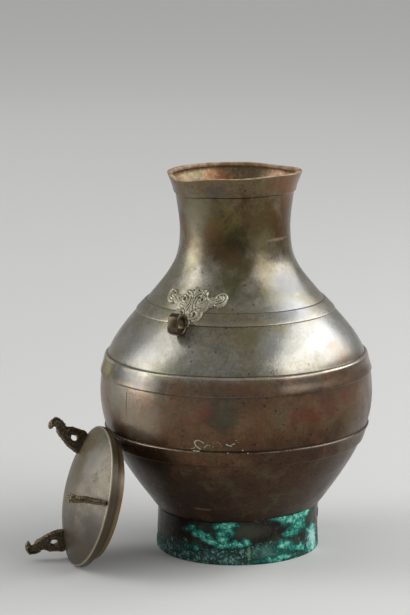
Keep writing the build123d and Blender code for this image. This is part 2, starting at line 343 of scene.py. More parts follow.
speckle = sum_of(
    patina, "MULTIPLY", ramp(patina, grain, 0.3, 0.7, 0.72, 1.24),
    ramp(patina, mottle, 0.32, 0.68, 0.84, 1.14))
speckle = put(patina, "ShaderNodeCombineColor", {0: speckle, 1: speckle, 2: speckle}).outputs[0]
shade = over(patina, 1.0, shade, speckle, "MULTIPLY")
shade = over(patina, sum_of(patina, "MULTIPLY", pits, 0.6), shade, tone(34, 28, 22))
# Specks, dark and pale: cells to the metre, the size of a speck, which cells have one, its share.
for size, small, large, chosen, share, speck_tone in (
        (150.0, 0.1, 0.24, 0.5, 0.7, tone(30, 23, 16)),
        (115.0, 0.06, 0.14, 0.8, 0.22, tone(150, 130, 100))):
    cells = put(patina, "ShaderNodeTexVoronoi", {"Vector": given["Point"], "Scale": size}).outputs
    some = put(patina, "ShaderNodeSeparateColor", {0: cells["Color"]}).outputs[0]
    some = sum_of(patina, "MULTIPLY", sum_of(patina, "GREATER_THAN", some, chosen), share)
    specks = sum_of(patina, "MULTIPLY", ramp(patina, cells["Distance"], large, small), some)
    shade = over(patina, specks, shade, speck_tone)
patina.links.new(shade, made["Color"])
rough = ramp(patina, clouds, 0.3, 0.7, 0.24, 0.34)
rough = sum_of(patina, "ADD", rough, sum_of(patina, "MULTIPLY", reds, 0.1))
rough = sum_of(patina, "ADD", rough, ramp(patina, mottle, 0.3, 0.7, -0.05, 0.07))
patina.links.new(rough, made["Rough"])
height = sum_of(patina, "MULTIPLY", grain, 0.25)
for relief, share in ((dust, 0.1), (blots, 1.1), (mottle, 0.8), (pits, -0.6)):
    height = sum_of(patina, "ADD", height, sum_of(patina, "MULTIPLY", relief, share))
patina.links.new(height, made["Height"])

# A stain: a patch with a broken edge round one place.
stain, given, made = group(
    "stain",
    (("Point", "Vector"), ("Place", "Vector"), ("Size", "Vector"), ("Broken", "Float"),
     ("Grain", "Float")),
    (("Share", "Float"),))
away = given["Point"]
for operation, by in (("SUBTRACT", given["Place"]), ("DIVIDE", given["Size"])):
    away = put(stain, "ShaderNodeVectorMath", {0: away, 1: by}, operation=operation).outputs[0]
away = put(stain, "ShaderNodeVectorMath", {0: away}, operation="LENGTH").outputs["Value"]
wander = sum_of(stain, "SUBTRACT", noise_of(stain, given["Point"], given["Grain"], 8.0, 0.75, 0.4), 0.5)
away = sum_of(stain, "ADD", away, sum_of(stain, "MULTIPLY", wander, given["Broken"]))
stain.links.new(ramp(stain, away, 1.3, 0.3), made["Share"])


def material(name):
    """A new material: its tree, the object's own coordinates and its shader."""
    new = bpy.data.materials.new(name)
    new.use_nodes = True
    tree = new.node_tree
    coordinates = put(tree, "ShaderNodeTexCoord").outputs["Object"]
    point = put(tree, "ShaderNodeMapping", {"Vector": coordinates}).outputs[0]
    return new, tree, point, tree.nodes["Principled BSDF"]


def use(tree, which, inputs):
    """A node group put into a material."""
    return put(tree, "ShaderNodeGroup", inputs, node_tree=which).outputs


def mark_of(tree, name):
    """The mark of this name that the mesh carries."""
    return put(tree, "ShaderNodeAttribute", attribute_name=name).outputs["Fac"]


def stain_share(tree, point, place, size, broken=3.4, grain=62.0):
    """Where a stain lies; place and size in millimetres."""
    sizes = {
        "Point": point, "Place": Vector(place) * MM, "Size": Vector(size) * MM,
        "Broken": broken, "Grain": grain}
    return use(tree, stain, sizes)["Share"]


def stained(tree, point, colour, place, size, shade, share=1.0, broken=3.4, grain=62.0):
    """The colour with one stain laid on it."""
    cover = stain_share(tree, point, place, size, broken, grain)
    return over(tree, sum_of(tree, "MULTIPLY", cover, share), colour, shade)


jar_bronze, tree, point, shader = material("jar_bronze")
# The height, in metres, with a waver so that no colour ends in a straight line.
true_level = put(tree, "ShaderNodeSeparateXYZ", {0: point}).outputs[2]
waver = ramp(tree, noise_of(tree, point, 11.0, 5.0, 0.65), 0.2, 0.8, -0.03, 0.03)
level = sum_of(tree, "ADD", true_level, waver)
ledge_level = sum_of(tree, "ADD", true_level, sum_of(tree, "MULTIPLY", waver, 0.3))
# The patina's two colours, from the lower body up: belly, shoulder, neck and lip.
ground = tone(68, 45, 28)
cloud = tone(56, 37, 21)
for height, low, high, ground_tone, cloud_tone in (
        (level, 0.1, 0.145, tone(104, 77, 54), tone(90, 66, 42)),
        (ledge_level, 0.182, 0.196, tone(137, 133, 121), tone(118, 108, 83)),
        (level, 0.25, 0.29, tone(106, 96, 73), tone(74, 57, 31)),
        (level, 0.335, 0.35, tone(122, 104, 80), tone(104, 86, 64))):
    climb = ramp(tree, height, low, high)
    ground = over(tree, climb, ground, ground_tone)
    cloud = over(tree, climb, cloud, cloud_tone)
red_share = sum_of(
    tree, "ADD", ramp(tree, level, 0.15, 0.2, 0.04, -0.07), ramp(tree, level, 0.26, 0.3, 0.0, 0.1))
skin = use(tree, patina, {
    "Point": point, "Ground": ground, "Cloud": cloud, "Red": tone(104, 66, 46),
    "Red Share": red_share})
olive = ramp(tree, noise_of(tree, point, 24.0, 8.0, 0.76, 0.3), 0.49, 0.6, 0.0, 0.6)
olive = sum_of(tree, "MULTIPLY", olive, ramp(tree, level, 0.17, 0.2))
colour = over(tree, olive, skin["Color"], tone(104, 99, 54))
# Soft grey patches, partly silvery skin and partly painted light: place, size, colour and share.
# Most lie where the lamps' highlights fall and are painted highlight, paler and whiter; the dark one
# high on the shoulder's right is painted shade that dims a highlight.
for place, size, shade, share in (
        ((104, -6, 213), (28, 48, 19), tone(140, 142, 144), 0.75),
        ((-42, -102, 208), (36, 26, 21), tone(124, 125, 120), 0.7),
        ((80, -32, 241), (24, 28, 15), tone(122, 124, 126), 0.8),
        ((84, -62, 212), (24, 26, 16), tone(142, 142, 136), 0.7),
        ((66, -13, 259), (22, 26, 18), tone(80, 80, 79), 0.9),
        ((-35, -122, 142), (34, 20, 20), tone(148, 135, 117), 0.78),
        ((-12, -52, 322), (18, 16, 30), tone(126, 120, 100), 0.7)):
    colour = stained(tree, point, colour, place, size, shade, share, broken=1.6)
# Stains with broken edges: the belly's and its band's, the neck's, thin marks, the far side's.
for place, size, shade, share in (
        ((111, -64, 151), (12, 15, 8), tone(92, 44, 26), 0.75),
        ((121, -42, 157), (8, 13, 12), tone(86, 46, 28), 0.7),
        ((127, -18, 162), (8, 11, 9), tone(100, 50, 30), 0.75),
        ((40, -122, 158), (11, 11, 9), tone(104, 56, 38), 0.8),
        ((22, -126, 150), (8, 8, 7), tone(100, 58, 40), 0.7),
        ((72, -101, 181), (15, 15, 9), tone(104, 66, 46), 0.6),
        ((53, -117, 155), (16, 16, 18), tone(60, 58, 46), 0.7),
        # Painted shade: these three dark patches dim the band's highlights.
        ((-51, -114, 180), (28, 24, 10), tone(48, 46, 34), 0.95),
        ((-19, -125, 177), (20, 14, 9), tone(66, 59, 44), 0.85),
        ((106, -68, 179), (24, 28, 9), tone(72, 58, 42), 0.85),
        ((-62, -112, 158), (24, 20, 20), tone(116, 112, 94), 0.75),
        ((-86, -92, 180), (14, 16, 11), tone(118, 114, 78), 0.85),
        ((54, 6, 318), (14, 36, 30), tone(80, 50, 8), 0.95),
        ((60, -1, 350), (14, 30, 14), tone(116, 78, 46), 0.85),
        # Painted shade: darker where the right lamp lights the neck.
        ((42, -31, 312), (17, 17, 24), tone(80, 62, 34), 0.85),
        ((24, -44, 299), (18, 18, 17), tone(54, 47, 20), 0.95),
        ((16, -47, 289), (14, 16, 10), tone(84, 60, 30), 0.8),
        ((26, -49, 280), (15, 15, 12), tone(88, 66, 28), 0.85),
        ((45, -27, 299), (11, 14, 13), tone(124, 112, 80), 0.7),
        ((7, -52, 311), (13, 10, 13), tone(98, 74, 46), 0.75),
        ((28, -56, 267), (18, 16, 14), tone(78, 74, 28), 0.85),
        ((-48, -20, 320), (12, 24, 30), tone(88, 60, 42), 0.7),
        ((14, -53, 348), (14, 14, 6), tone(84, 80, 76), 0.6),
        ((-30, -48, 350), (10, 10, 8), tone(108, 84, 60), 0.7),
        ((113, -5, 203), (14, 22, 11), tone(112, 92, 66), 0.6),
        ((110, -17, 207), (9, 12, 4), tone(122, 98, 70), 0.7),
        ((118, -3, 194), (7, 14, 4), tone(124, 100, 72), 0.8),
        ((50, -14, 300), (6, 16, 1.6), tone(158, 138, 104), 0.8),
        ((-60, 112, 150), (28, 22, 17), tone(70, 62, 42), 0.75),
        ((70, 106, 164), (20, 18, 11), tone(94, 48, 30), 0.75),
        ((-14, 128, 138), (17, 12, 15), tone(60, 54, 40), 0.7),
        ((-122, 22, 158), (12, 24, 17), tone(108, 102, 80), 0.7),
        ((118, 48, 146), (12, 20, 15), tone(66, 58, 42), 0.7),
        ((-104, 68, 170), (16, 18, 9), tone(98, 54, 36), 0.7),
        ((26, 94, 214), (30, 20, 11), tone(96, 88, 62), 0.65),
        ((-88, 30, 222), (18, 26, 12), tone(104, 84, 58), 0.6),
        ((-26, 46, 292), (18, 14, 20), tone(50, 42, 22), 0.85),
        ((16, 50, 318), (16, 12, 18), tone(92, 64, 34), 0.8),
        ((11, -87, 55.7), (9, 8, 1.2), tone(126, 100, 72), 0.8)):
    colour = stained(tree, point, colour, place, size, shade, share)
# The inside is earthy, with fine grains of rust and red and green patches.
earth = ramp(tree, noise_of(tree, point, 240.0, 9.0, 0.8, 0.3), 0.36, 0.64)
rust = over(tree, earth, tone(96, 76, 54), tone(156, 130, 96))
grains = ramp(tree, noise_of(tree, point, 330.0, 9.0, 0.8, 0.4), 0.52, 0.62, 0.0, 0.6)
rust = over(tree, grains, rust, tone(122, 70, 38))
for place, size, shade in (
        ((-41, 38, 345), (18, 15, 11), tone(124, 68, 38)),
        ((-54, 18, 350), (9, 10, 7), tone(86, 90, 62)),
        ((-14, 55, 347), (16, 10, 9), tone(98, 94, 66)),
        ((20, 51, 342), (12, 12, 10), tone(128, 70, 40)),
        ((40, -34, 340), (16, 14, 14), tone(130, 72, 38))):
    rust = stained(tree, point, rust, place, size, shade, 0.8, broken=9.0, grain=300.0)
within = mark_of(tree, "inside")
colour = over(tree, within, colour, rust)
# The ledges are painted pale here and there, least at the front of the lower one: partly wear, partly a
# painted highlight along edges that catch the light.
ledge_patches = ramp(tree, noise_of(tree, point, 14.0, 6.0, 0.7), 0.38, 0.6, 0.15, 0.85)
worn = sum_of(tree, "MULTIPLY", mark_of(tree, "ledge"), ledge_patches)
faded = stain_share(tree, point, (50, -114, 119.8), (34, 26, 12), broken=1.6)
worn = sum_of(tree, "MULTIPLY", worn, ramp(tree, faded, 0.0, 0.7, 1.0, 0.12))
colour = over(tree, worn, colour, tone(188, 180, 162))
# Painted shade: the corners under the ledges and in the creases are painted near black.
corner_shade = ramp(tree, mark_of(tree, "corner"), 0.1, 0.8, 0.0, 0.85)
colour = over(tree, corner_shade, colour, tone(26, 20, 13))
on_lip = mark_of(tree, "lip")
browned = ramp(tree, noise_of(tree, point, 120.0, 8.0, 0.7), 0.4, 0.62)
tan = over(tree, browned, tone(176, 152, 122), tone(132, 104, 76))
colour = over(tree, sum_of(tree, "MULTIPLY", on_lip, 0.9), colour, tan)
on_lime = mark_of(tree, "lime")
colour = over(tree, on_lime, colour, tone(168, 170, 150))
bump = put(tree, "ShaderNodeBump", {"Height": skin["Height"], "Strength": 0.25, "Distance": 0.0006})
# The inside, the lip, the lime and the crust at the left of the band have little shine.
crusted = stain_share(tree, point, (-86, -92, 180), (18, 20, 13), broken=2.4)
dull = sum_of(tree, "MAXIMUM", sum_of(tree, "MULTIPLY", within, 0.4), on_lip)
dull = sum_of(tree, "MAXIMUM", dull, on_lime)
dull = sum_of(tree, "MAXIMUM", dull, sum_of(tree, "MULTIPLY", crusted, 0.8))
sheen = sum_of(
    tree, "ADD", ramp(tree, level, 0.1, 0.21, 0.72, 0.62), ramp(tree, level, 0.27, 0.31, 0.0, 0.22))
sheen = sum_of(tree, "MULTIPLY", sheen, ramp(tree, dull, 0.0, 1.0, 1.0, 0.15))
tree.links.new(colour, shader.inputs["Base Color"])
tree.links.new(sheen, shader.inputs["Metallic"])
rough = sum_of(tree, "ADD", skin["Rough"], sum_of(tree, "MULTIPLY", dull, 0.3))
rough = sum_of(tree, "SUBTRACT", rough, sum_of(tree, "MULTIPLY", worn, 0.08))
tree.links.new(rough, shader.inputs["Roughness"])
tree.links.new(bump.outputs[0], shader.inputs["Normal"])
# Old wax, thickest on the shoulder, gives the pale gleam.
wax = sum_of(
    tree, "MULTIPLY", ramp(tree, level, 0.13, 0.21), ramp(tree, level, 0.25, 0.31, 1.0, 0.15))
wax = sum_of(tree, "MULTIPLY", wax, ramp(tree, dull, 0.0, 0.5, 1.0, 0.0))
wax = sum_of(tree, "MULTIPLY", wax, ramp(tree, skin["Rough"], 0.24, 0.42, 0.9, 0.45))
tree.links.new(wax, shader.inputs["Coat Weight"])
shader.inputs["Coat Roughness"].default_value = 0.3
shader.inputs["Coat IOR"].default_value = 1.6
jar.data.materials.append(jar_bronze)
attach(jar, "jar")
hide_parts("vessel_body")

# Foot
# A plain cast ring soldered round the spigot under the jar, 4 mm thick. Green malachite has
# grown on it in raised patches, and a grey-green film covers it along the floor.
FOOT_RINGS = 40
FOOT_HEIGHT = 40
foot_section = [
    (77.2 - 1.4 * n / FOOT_RINGS, 0.5 + 39.2 * n / FOOT_RINGS) for n in range(FOOT_RINGS + 1)]
foot_section += [
    (75.4, FOOT_HEIGHT), (72.1, FOOT_HEIGHT), (71.8, 39.6), (72.2, 30), (72.8, 12), (73.2, 0.6),
    (73.6, 0), (76.7, 0), (77.2, 0.5)]
foot = turned("foot_casting", foot_section, 480)
# Patches of malachite: bearing from the front mask, height, half width in degrees, half height.
patches = (
    (60, 40, 9, 3), (72, 38, 13, 6), (84, 39, 9, 5), (76, 31, 9, 8), (72, 25, 8, 5),
    (21, 37, 11, 5), (22, 30, 6, 6), (20, 23, 5, 4), (-6, 31, 8, 4), (3, 27, 7, 4),
    (10, 23, 6, 3), (-1, 15, 5, 4), (20, 19, 8, 3), (30, 20, 6, 3), (36, 22, 4, 4),
    (66, 14, 9, 6), (80, 10, 8, 5), (96, 17, 9, 12), (98, 5, 14, 6), (60, 3, 20, 3),
    (130, 30, 16, 7), (150, 10, 24, 8), (-100, 30, 13, 8), (-120, 9, 30, 7),
    (-160, 26, 18, 9), (-60, 7, 14, 4))
LIFTED_AT = 76
LIFTED_BY = 4.0
FOOT_MIDWALL_R = 74.5
CRUST_SEED = 36
noise.seed_set(CRUST_SEED)
crust = foot.data.attributes.new("crust", "FLOAT", "POINT")
for vertex in foot.data.vertices:
    x, y, z = vertex.co / MM
    r = hypot(x, y)
    if r < FOOT_MIDWALL_R:
        continue
    bearing = degrees(atan2(x, -y))
    wander = noise.noise_vector(vertex.co * 75) + 0.5 * noise.noise_vector(vertex.co * 190)
    cover = -1.0
    for patch_at, patch_z, half_turn, half_height in patches:
        aside = ((bearing - patch_at + 180) % 360 - 180 + 4 * wander.x) / half_turn
        cover = max(cover, 1 - hypot(aside, (z - patch_z + 2.4 * wander.z) / half_height))
    crust.data[vertex.index].value = min(max((cover + 0.5) / 1.1, 0), 1)
    depth = min(max((cover + 0.4 * noise.fractal(vertex.co * 130, 0.8, 2.2, 6)) / 0.5, 0), 1)
    lumps = 0.5 + 0.5 * noise.fractal(vertex.co * 330, 0.7, 2.1, 4)
    out = depth * (0.2 + 0.7 * lumps) + 0.14 * noise.noise(vertex.co * 120)
    # On the right the crust's upper edge is lifted and stands out.
    from_lift = min(abs(bearing - LIFTED_AT) * 1.4, 90)
    lift = LIFTED_BY * cos(radians(from_lift)) * (z / FOOT_HEIGHT) ** 3
    vertex.co.x *= 1 + (out + 0.8 * lift) / r
    vertex.co.y *= 1 + (out + 0.8 * lift) / r
    vertex.co.z += lift * MM
select_only(foot)
bpy.ops.object.shade_smooth_by_angle(angle=radians(50))

foot_bronze, tree, point, shader = material("foot_bronze")
skin = use(tree, patina, {
    "Point": point, "Ground": tone(36, 30, 24), "Cloud": tone(28, 24, 20),
    "Red": tone(56, 40, 30), "Red Share": 0.0})
level = put(tree, "ShaderNodeSeparateXYZ", {0: point}).outputs[2]
flecks = noise_of(tree, point, 210.0, 7.0, 0.78, 0.4)
fine = noise_of(tree, point, 620.0, 4.0, 0.72)
broad = noise_of(tree, point, 75.0, 8.0, 0.75, 0.3)
film = sum_of(
    tree, "ADD", ramp(tree, level, 0.032, 0.004, -0.25, 0.8),
    ramp(tree, broad, 0.25, 0.75, -0.5, 0.5))
film = sum_of(tree, "ADD", film, ramp(tree, flecks, 0.3, 0.7, -0.25, 0.25))
colour = over(tree, ramp(tree, film, 0.05, 0.6, 0.0, 0.9), skin["Color"], tone(22, 50, 44))
colour = over(tree, ramp(tree, film, 0.5, 1.0, 0.0, 0.8), colour, tone(40, 80, 70))
dots = sum_of(tree, "ADD", flecks, fine)
dots = sum_of(tree, "ADD", dots, sum_of(tree, "MULTIPLY", film, 0.12))
dots = sum_of(
    tree, "MULTIPLY", ramp(tree, dots, 1.13, 1.24), ramp(tree, film, 0.0, 0.4, 0.0, 0.7))
colour = over(tree, dots, colour, tone(136, 182, 172))
# A paler patch at the top's middle, a paler film and a streak: place, size, colour, share, broken edge
# and grain.
for place, size, shade, share, broken, grain in (
        ((46, -62, 33), (24, 20, 8), tone(62, 64, 52), 0.8, 1.6, 62.0),
        ((63, -44, 11), (20, 20, 9), tone(58, 110, 98), 0.7, 3.0, 200.0),
        ((48, -61, 13), (1.6, 1.6, 13), tone(112, 150, 112), 0.8, 0.8, 220.0)):
    colour = stained(tree, point, colour, place, size, shade, share, broken, grain)
grown = mark_of(tree, "crust")
eaten = sum_of(
    tree, "ADD", ramp(tree, flecks, 0.3, 0.7, -0.45, 0.45), ramp(tree, fine, 0.3, 0.7, -0.3, 0.3))
eaten = sum_of(tree, "ADD", eaten, ramp(tree, broad, 0.3, 0.7, -0.35, 0.3))
growth = sum_of(tree, "ADD", sum_of(tree, "MULTIPLY", grown, 1.35), eaten)
green = over(tree, ramp(tree, growth, 0.4, 0.85), tone(8, 40, 42), tone(14, 84, 76))
green = over(tree, ramp(tree, growth, 0.85, 1.2), green, tone(36, 140, 120))
green = over(tree, ramp(tree, growth, 1.2, 1.75), green, tone(142, 208, 190))
grown = sum_of(tree, "MULTIPLY", ramp(tree, growth, 0.3, 0.6), ramp(tree, grown, 0.05, 0.3))
colour = over(tree, grown, colour, green)
colour = stained(
    tree, point, colour, (76, 9, 13), (7, 10, 12), tone(164, 210, 204), 0.9, broken=5.0, grain=260.0)
film = ramp(tree, film, 0.05, 0.6)
crumbly = sum_of(tree, "MULTIPLY", flecks, sum_of(tree, "ADD", grown, film))
height = sum_of(tree, "ADD", skin["Height"], crumbly)
bump = put(tree, "ShaderNodeBump", {"Height": height, "Strength": 0.5, "Distance": 0.0008})
covered = sum_of(tree, "MAXIMUM", grown, film)
tree.links.new(colour, shader.inputs["Base Color"])
tree.links.new(ramp(tree, covered, 0.0, 1.0, 0.4, 0.0), shader.inputs["Metallic"])
rough = sum_of(tree, "ADD", skin["Rough"], sum_of(tree, "MULTIPLY", covered, 0.4))
tree.links.new(rough, shader.inputs["Roughness"])
tree.links.new(bump.outputs[0], shader.inputs["Normal"])
shader.inputs["Specular IOR Level"].default_value = 0.3
foot.data.materials.append(foot_bronze)
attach(foot, "jar")
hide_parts("foot_ring")

# Masks
# An animal mask in low relief, cast with the strap loop at its nose and held by a peg through
# the wall. A fine sheet is cut to the mask's lobes, raised into its ridges and laid on the
# curve of the shoulder.
SHEET_WIDTH = 66
SHEET_HEIGHT = 37
SHEET_MIDDLE = 243.5
# Each lobe: its place on the right half, from the middle and from the floor, and its radius.
lobes = [
    (0, 253, 6.8), (8.5, 253.6, 4.1), (10.1, 245.5, 7.5), (17.6, 248.1, 4.4), (25.2, 249.9, 6.3),
    (8.5, 236.8, 6.2), (0, 244.3, 9), (0, 232.5, 6.2)]
nostril = [
    (6.2 + (4.3 - 0.28 * n) * cos(0.6 * n - 2.2), 237 + (4.1 - 0.27 * n) * sin(0.6 * n - 2.2))
    for n in range(11)]
eye_turn = radians(38)
eye = [
    (9 + 3.5 * cos(a) * cos(eye_turn) - 1.9 * sin(a) * sin(eye_turn),
     249 + 3.5 * cos(a) * sin(eye_turn) + 1.9 * sin(a) * cos(eye_turn))
    for a in (n * pi / 7 for n in range(15))]
# Each ridge: its line on the right half, its half width and how far it stands up.
ridges = (
    (((18.8, 247.4), (21, 245.6), (25, 244.9), (28.8, 246.8), (30.4, 250.2), (29.2, 253.4),
      (26, 255), (22.6, 253.6), (20.4, 251)), 0.9, 1.0),
    (((23, 247.4), (26.2, 248.2), (27.6, 250.6), (26.6, 252.8)), 0.7, 0.9),
    (((21.8, 249.2), (24, 249.4), (25.2, 251), (24.6, 252.4)), 0.7, 0.8),
    (((1, 251.2), (3.6, 254), (7.6, 255.2), (11.4, 253.6), (14.8, 250)), 0.9, 1.0),
    (((12.8, 251.4), (15, 250.6), (15.8, 248.8), (14.6, 247.2)), 0.7, 0.8),
    (eye, 0.75, 1.2),
    (((0.9, 249.6), (0.7, 245.6), (1.6, 242.2), (2.8, 240.2)), 0.8, 1.0),
    (((3.6, 250.2), (3, 246.8), (3.9, 243.8), (6.4, 242.4), (10.4, 243.4)), 0.75, 0.9),
    (nostril, 0.95, 1.2),
    (((1.4, 229.4), (4.6, 230.6), (8.4, 232), (12, 233.8), (13.8, 236.6), (13, 239.4)), 0.9, 0.9),
    (((4.6, 258.2), (6.2, 256.6), (6, 254.8), (4.2, 254.6)), 0.7, 0.7))
# Each hollow: its place, its radius and how deep it is.
hollows = (
    (2.6, 256.6, 1.0, 1.6), (9.8, 256.4, 1.0, 1.4), (22.3, 252.2, 0.9, 1.4), (6.2, 237, 1.7, 1.5),
    (9, 249, 1.3, 1.3))

bpy.ops.object.select_all(action="DESELECT")
bpy.ops.mesh.primitive_grid_add(x_subdivisions=200, y_subdivisions=112, size=1)
mask = bpy.context.object
mask.name = "front_mask_casting"
flat = np.array([
    (v.co.x * SHEET_WIDTH, v.co.y * SHEET_HEIGHT + SHEET_MIDDLE) for v in mask.data.vertices])
across = np.abs(flat[:, 0])
level = flat[:, 1]
within_lobes = np.max([r - np.hypot(across - x, level - z) for x, z, r in lobes], axis=0)
stand = 1.7 * (1 - np.exp(-np.maximum(within_lobes, 0) / 0.8)) + 0.06 * np.maximum(within_lobes, 0)


def smooth_line(points, steps=6):
    """More points on the smooth curve through these."""
    ends = [points[0]] + list(points) + [points[-1]]
    fine = []
    for before, start, end, after in zip(ends, ends[1:], ends[2:], ends[3:]):
        before, start, end, after = (np.array(p) for p in (before, start, end, after))
        for n in range(steps):
            t = n / steps
            fine.append(0.5 * (
                2 * start + (end - before) * t + (2 * before - 5 * start + 4 * end - after) * t ** 2
                + (3 * start - before - 3 * end + after) * t ** 3))
    return fine + [np.array(points[-1])]


for line, half, high in ridges:
    line = smooth_line(line)
    near = np.full(len(flat), 99.0)
    for start, end in zip(line, line[1:]):
        along = end - start
        aside = across - start[0]
        above = level - start[1]
        t = np.clip((aside * along[0] + above * along[1]) / (along @ along + 1e-9), 0, 1)
        near = np.minimum(near, np.hypot(aside - t * along[0], above - t * along[1]))
    stand += 0.45 * high * np.exp(-(near / (0.75 * half)) ** 2)
    stand -= 0.22 * np.exp(-((near - 1.5 * half) / (0.5 * half)) ** 2)
for x, z, r, deep in hollows:
    stand -= deep * np.exp(-(np.hypot(across - x, level - z) / r) ** 4)
stand = np.where(within_lobes < 0.15, -0.8, stand)

# The shoulder's line, without the band that the mask lies across.
shoulder = [(r, z) for r, z in jar_outside if 189 < z < 300 and not 228.9 < z < 240]
shoulder_z = [z for r, z in shoulder]
shoulder_r = [r for r, z in shoulder]
for vertex, (x, z), up in zip(mask.data.vertices, flat.tolist(), stand.tolist()):
    r = float(np.interp(z, shoulder_z, shoulder_r))
    below, above = np.interp((z - 1, z + 1), shoulder_z, shoulder_r)
    slope = float(below - above) / 2
    out = Vector((x / r, -sqrt(1 - (x / r) ** 2), slope)).normalized()
    vertex.co = (Vector((x, -sqrt(r * r - x * x), z)) + (up + 0.5) * out) * MM
# What lies outside the lobes is cut off.
bpy.ops.object.mode_set(mode="EDIT")
bpy.ops.mesh.select_mode(type="VERT")
bpy.ops.mesh.select_all(action="DESELECT")
bpy.ops.object.mode_set(mode="OBJECT")
for vertex, inner in zip(mask.data.vertices, within_lobes):
    vertex.select = bool(inner < -0.35)
bpy.ops.object.mode_set(mode="EDIT")
bpy.ops.mesh.delete(type="VERT")
bpy.ops.mesh.select_all(action="SELECT")
bpy.ops.mesh.normals_make_consistent(inside=False)
bpy.ops.object.mode_set(mode="OBJECT")
apply_modifier(mask, "SMOOTH", factor=0.4, iterations=1)

loop_section = [
    (6.6, -4.2), (6.7, -4.7), (7.2, -5), (9.6, -5), (10.1, -4.7), (10.2, -4.2), (10.2, 4.2),
    (10.1, 4.7), (9.6, 5), (7.2, 5), (6.7, 4.7), (6.6, 4.2), (6.6, -4.2)]
loop = turned("loop", loop_section, 72)
# Its outside is a little squared.
SQUARED = 2.6
for vertex in loop.data.vertices:
    turn = atan2(vertex.co.y, vertex.co.x) + radians(20)
    swell = 0.985 * (abs(cos(turn)) ** SQUARED + abs(sin(turn)) ** SQUARED) ** (-1 / SQUARED)
    if hypot(vertex.co.x, vertex.co.y) > 9 * MM:
        vertex.co.x *= swell
        vertex.co.y *= swell
loop_middle = Vector((0, -104.764, 231.67)) * MM
loop.data.transform(Matrix.Translation(loop_middle) @ Matrix.Rotation(radians(90), 4, "Y"))
mark_all(loop, "strap")
mask = join([mask, loop], "front_mask_casting")
bpy.ops.object.shade_smooth_by_angle(angle=radians(60))

mask_bronze, tree, point, shader = material("mask_bronze")
skin = use(tree, patina, {
    "Point": point, "Ground": tone(174, 169, 148), "Cloud": tone(150, 144, 122),
    "Red": tone(104, 88, 66), "Red Share": -0.06})
edges = put(tree, "ShaderNodeNewGeometry").outputs["Pointiness"]
# By curvature: the hollows painted dark as painted shade, the ridges painted pale as painted highlight.
colour = over(tree, ramp(tree, edges, 0.5, 0.46, 0.0, 0.85), skin["Color"], tone(34, 28, 19))
colour = over(tree, ramp(tree, edges, 0.508, 0.56, 0.0, 0.7), colour, tone(190, 185, 164))
strap = mark_of(tree, "strap")
colour = over(tree, strap, colour, tone(88, 77, 61))
bump = put(tree, "ShaderNodeBump", {"Height": skin["Height"], "Strength": 0.3, "Distance": 0.0005})
tree.links.new(colour, shader.inputs["Base Color"])
tree.links.new(ramp(tree, strap, 0.2, 0.8, 0.4, 0.9), shader.inputs["Metallic"])
rough = sum_of(tree, "ADD", skin["Rough"], ramp(tree, strap, 0.2, 0.8, 0.08, -0.06))
tree.links.new(rough, shader.inputs["Roughness"])
tree.links.new(bump.outputs[0], shader.inputs["Normal"])
mask.data.materials.append(mask_bronze)

select_only(mask)
bpy.ops.object.duplicate()
rear = bpy.context.object
rear.name = "rear_mask_casting"
rear.data.transform(Matrix.Rotation(pi, 4, "Z"))
for piece, node in ((mask, "front_mask"), (rear, "rear_mask")):
    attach(piece, "jar")
    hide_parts(node)

# Lid
# A low dome with an upright rim and a flange that goes into the mouth, one casting. It is off
# the jar and stands on its rim, leaning on the belly.
LID_LEAN = radians(14.8)
LID_FACING = radians(41.2)
LID_BEARING = radians(34)
LID_AWAY = 148.408
LID_R = 65.8
lid_axis = Vector((-cos(LID_LEAN) * sin(LID_FACING), -cos(LID_LEAN) * cos(LID_FACING), sin(LID_LEAN)))
lid_across = Vector((cos(LID_FACING), -sin(LID_FACING), 0))
lid_upwards = lid_axis.cross(lid_across)
lid_turn = Matrix((lid_across, lid_upwards, lid_axis)).transposed().to_4x4()
lid_middle = Vector((-LID_AWAY * sin(LID_BEARING), -LID_AWAY * cos(LID_BEARING), LID_R * cos(LID_LEAN)))
dome = [(r, sqrt(138.7 ** 2 - r * r) - 116.1) for r in (0, 8, 17, 26, 35, 44, 52, 58, 62, 64.2)]
dome_inside = [(r, sqrt(135.7 ** 2 - r * r) - 116.1) for r in (52, 44, 34, 22, 10, 0)]
lid_section = dome + [
    (65.2, 6.4), (65.7, 6), (LID_R, 5.5), (LID_R, 0.6), (65.6, 0.1), (65, 0), (58.4, 0),
    (57.8, -0.1), (57.6, -0.6), (57.6, -8.4), (57.4, -8.8), (56.8, -9), (55.4, -9),
    (54.8, -8.8), (54.6, -8.4), (54.6, 6), (54.3, 7.6)] + dome_inside
lid = turned("lid_casting", lid_section, SMOOTHED_SIDES, SMOOTHING_GAIN)
apply_modifier(lid, "SUBSURF", levels=2, render_levels=2)
# Marks for the material: the rim down to the flange, the flange's end, the dome's edge for a painted
# highlight.
for place in ("rim_wall", "flange", "dome_edge"):
    lid.data.attributes.new(place, "FLOAT", "POINT")
marks = lid.data.attributes
for vertex in lid.data.vertices:
    x, y, z = vertex.co / MM
    marks["rim_wall"].data[vertex.index].value = float(-6 < z < 5.4 and hypot(x, y) > 57)
    marks["flange"].data[vertex.index].value = float(z < -5.5)
    marks["dome_edge"].data[vertex.index].value = float(hypot(x, y) > 64.6 and z > 5.6)
apply_modifier(lid, "DISPLACE", texture=cast_waves, texture_coords="LOCAL", strength=0.0006)
lid.data.transform(Matrix.Translation(lid_middle * MM) @ lid_turn)
select_only(lid)
bpy.ops.object.shade_smooth()

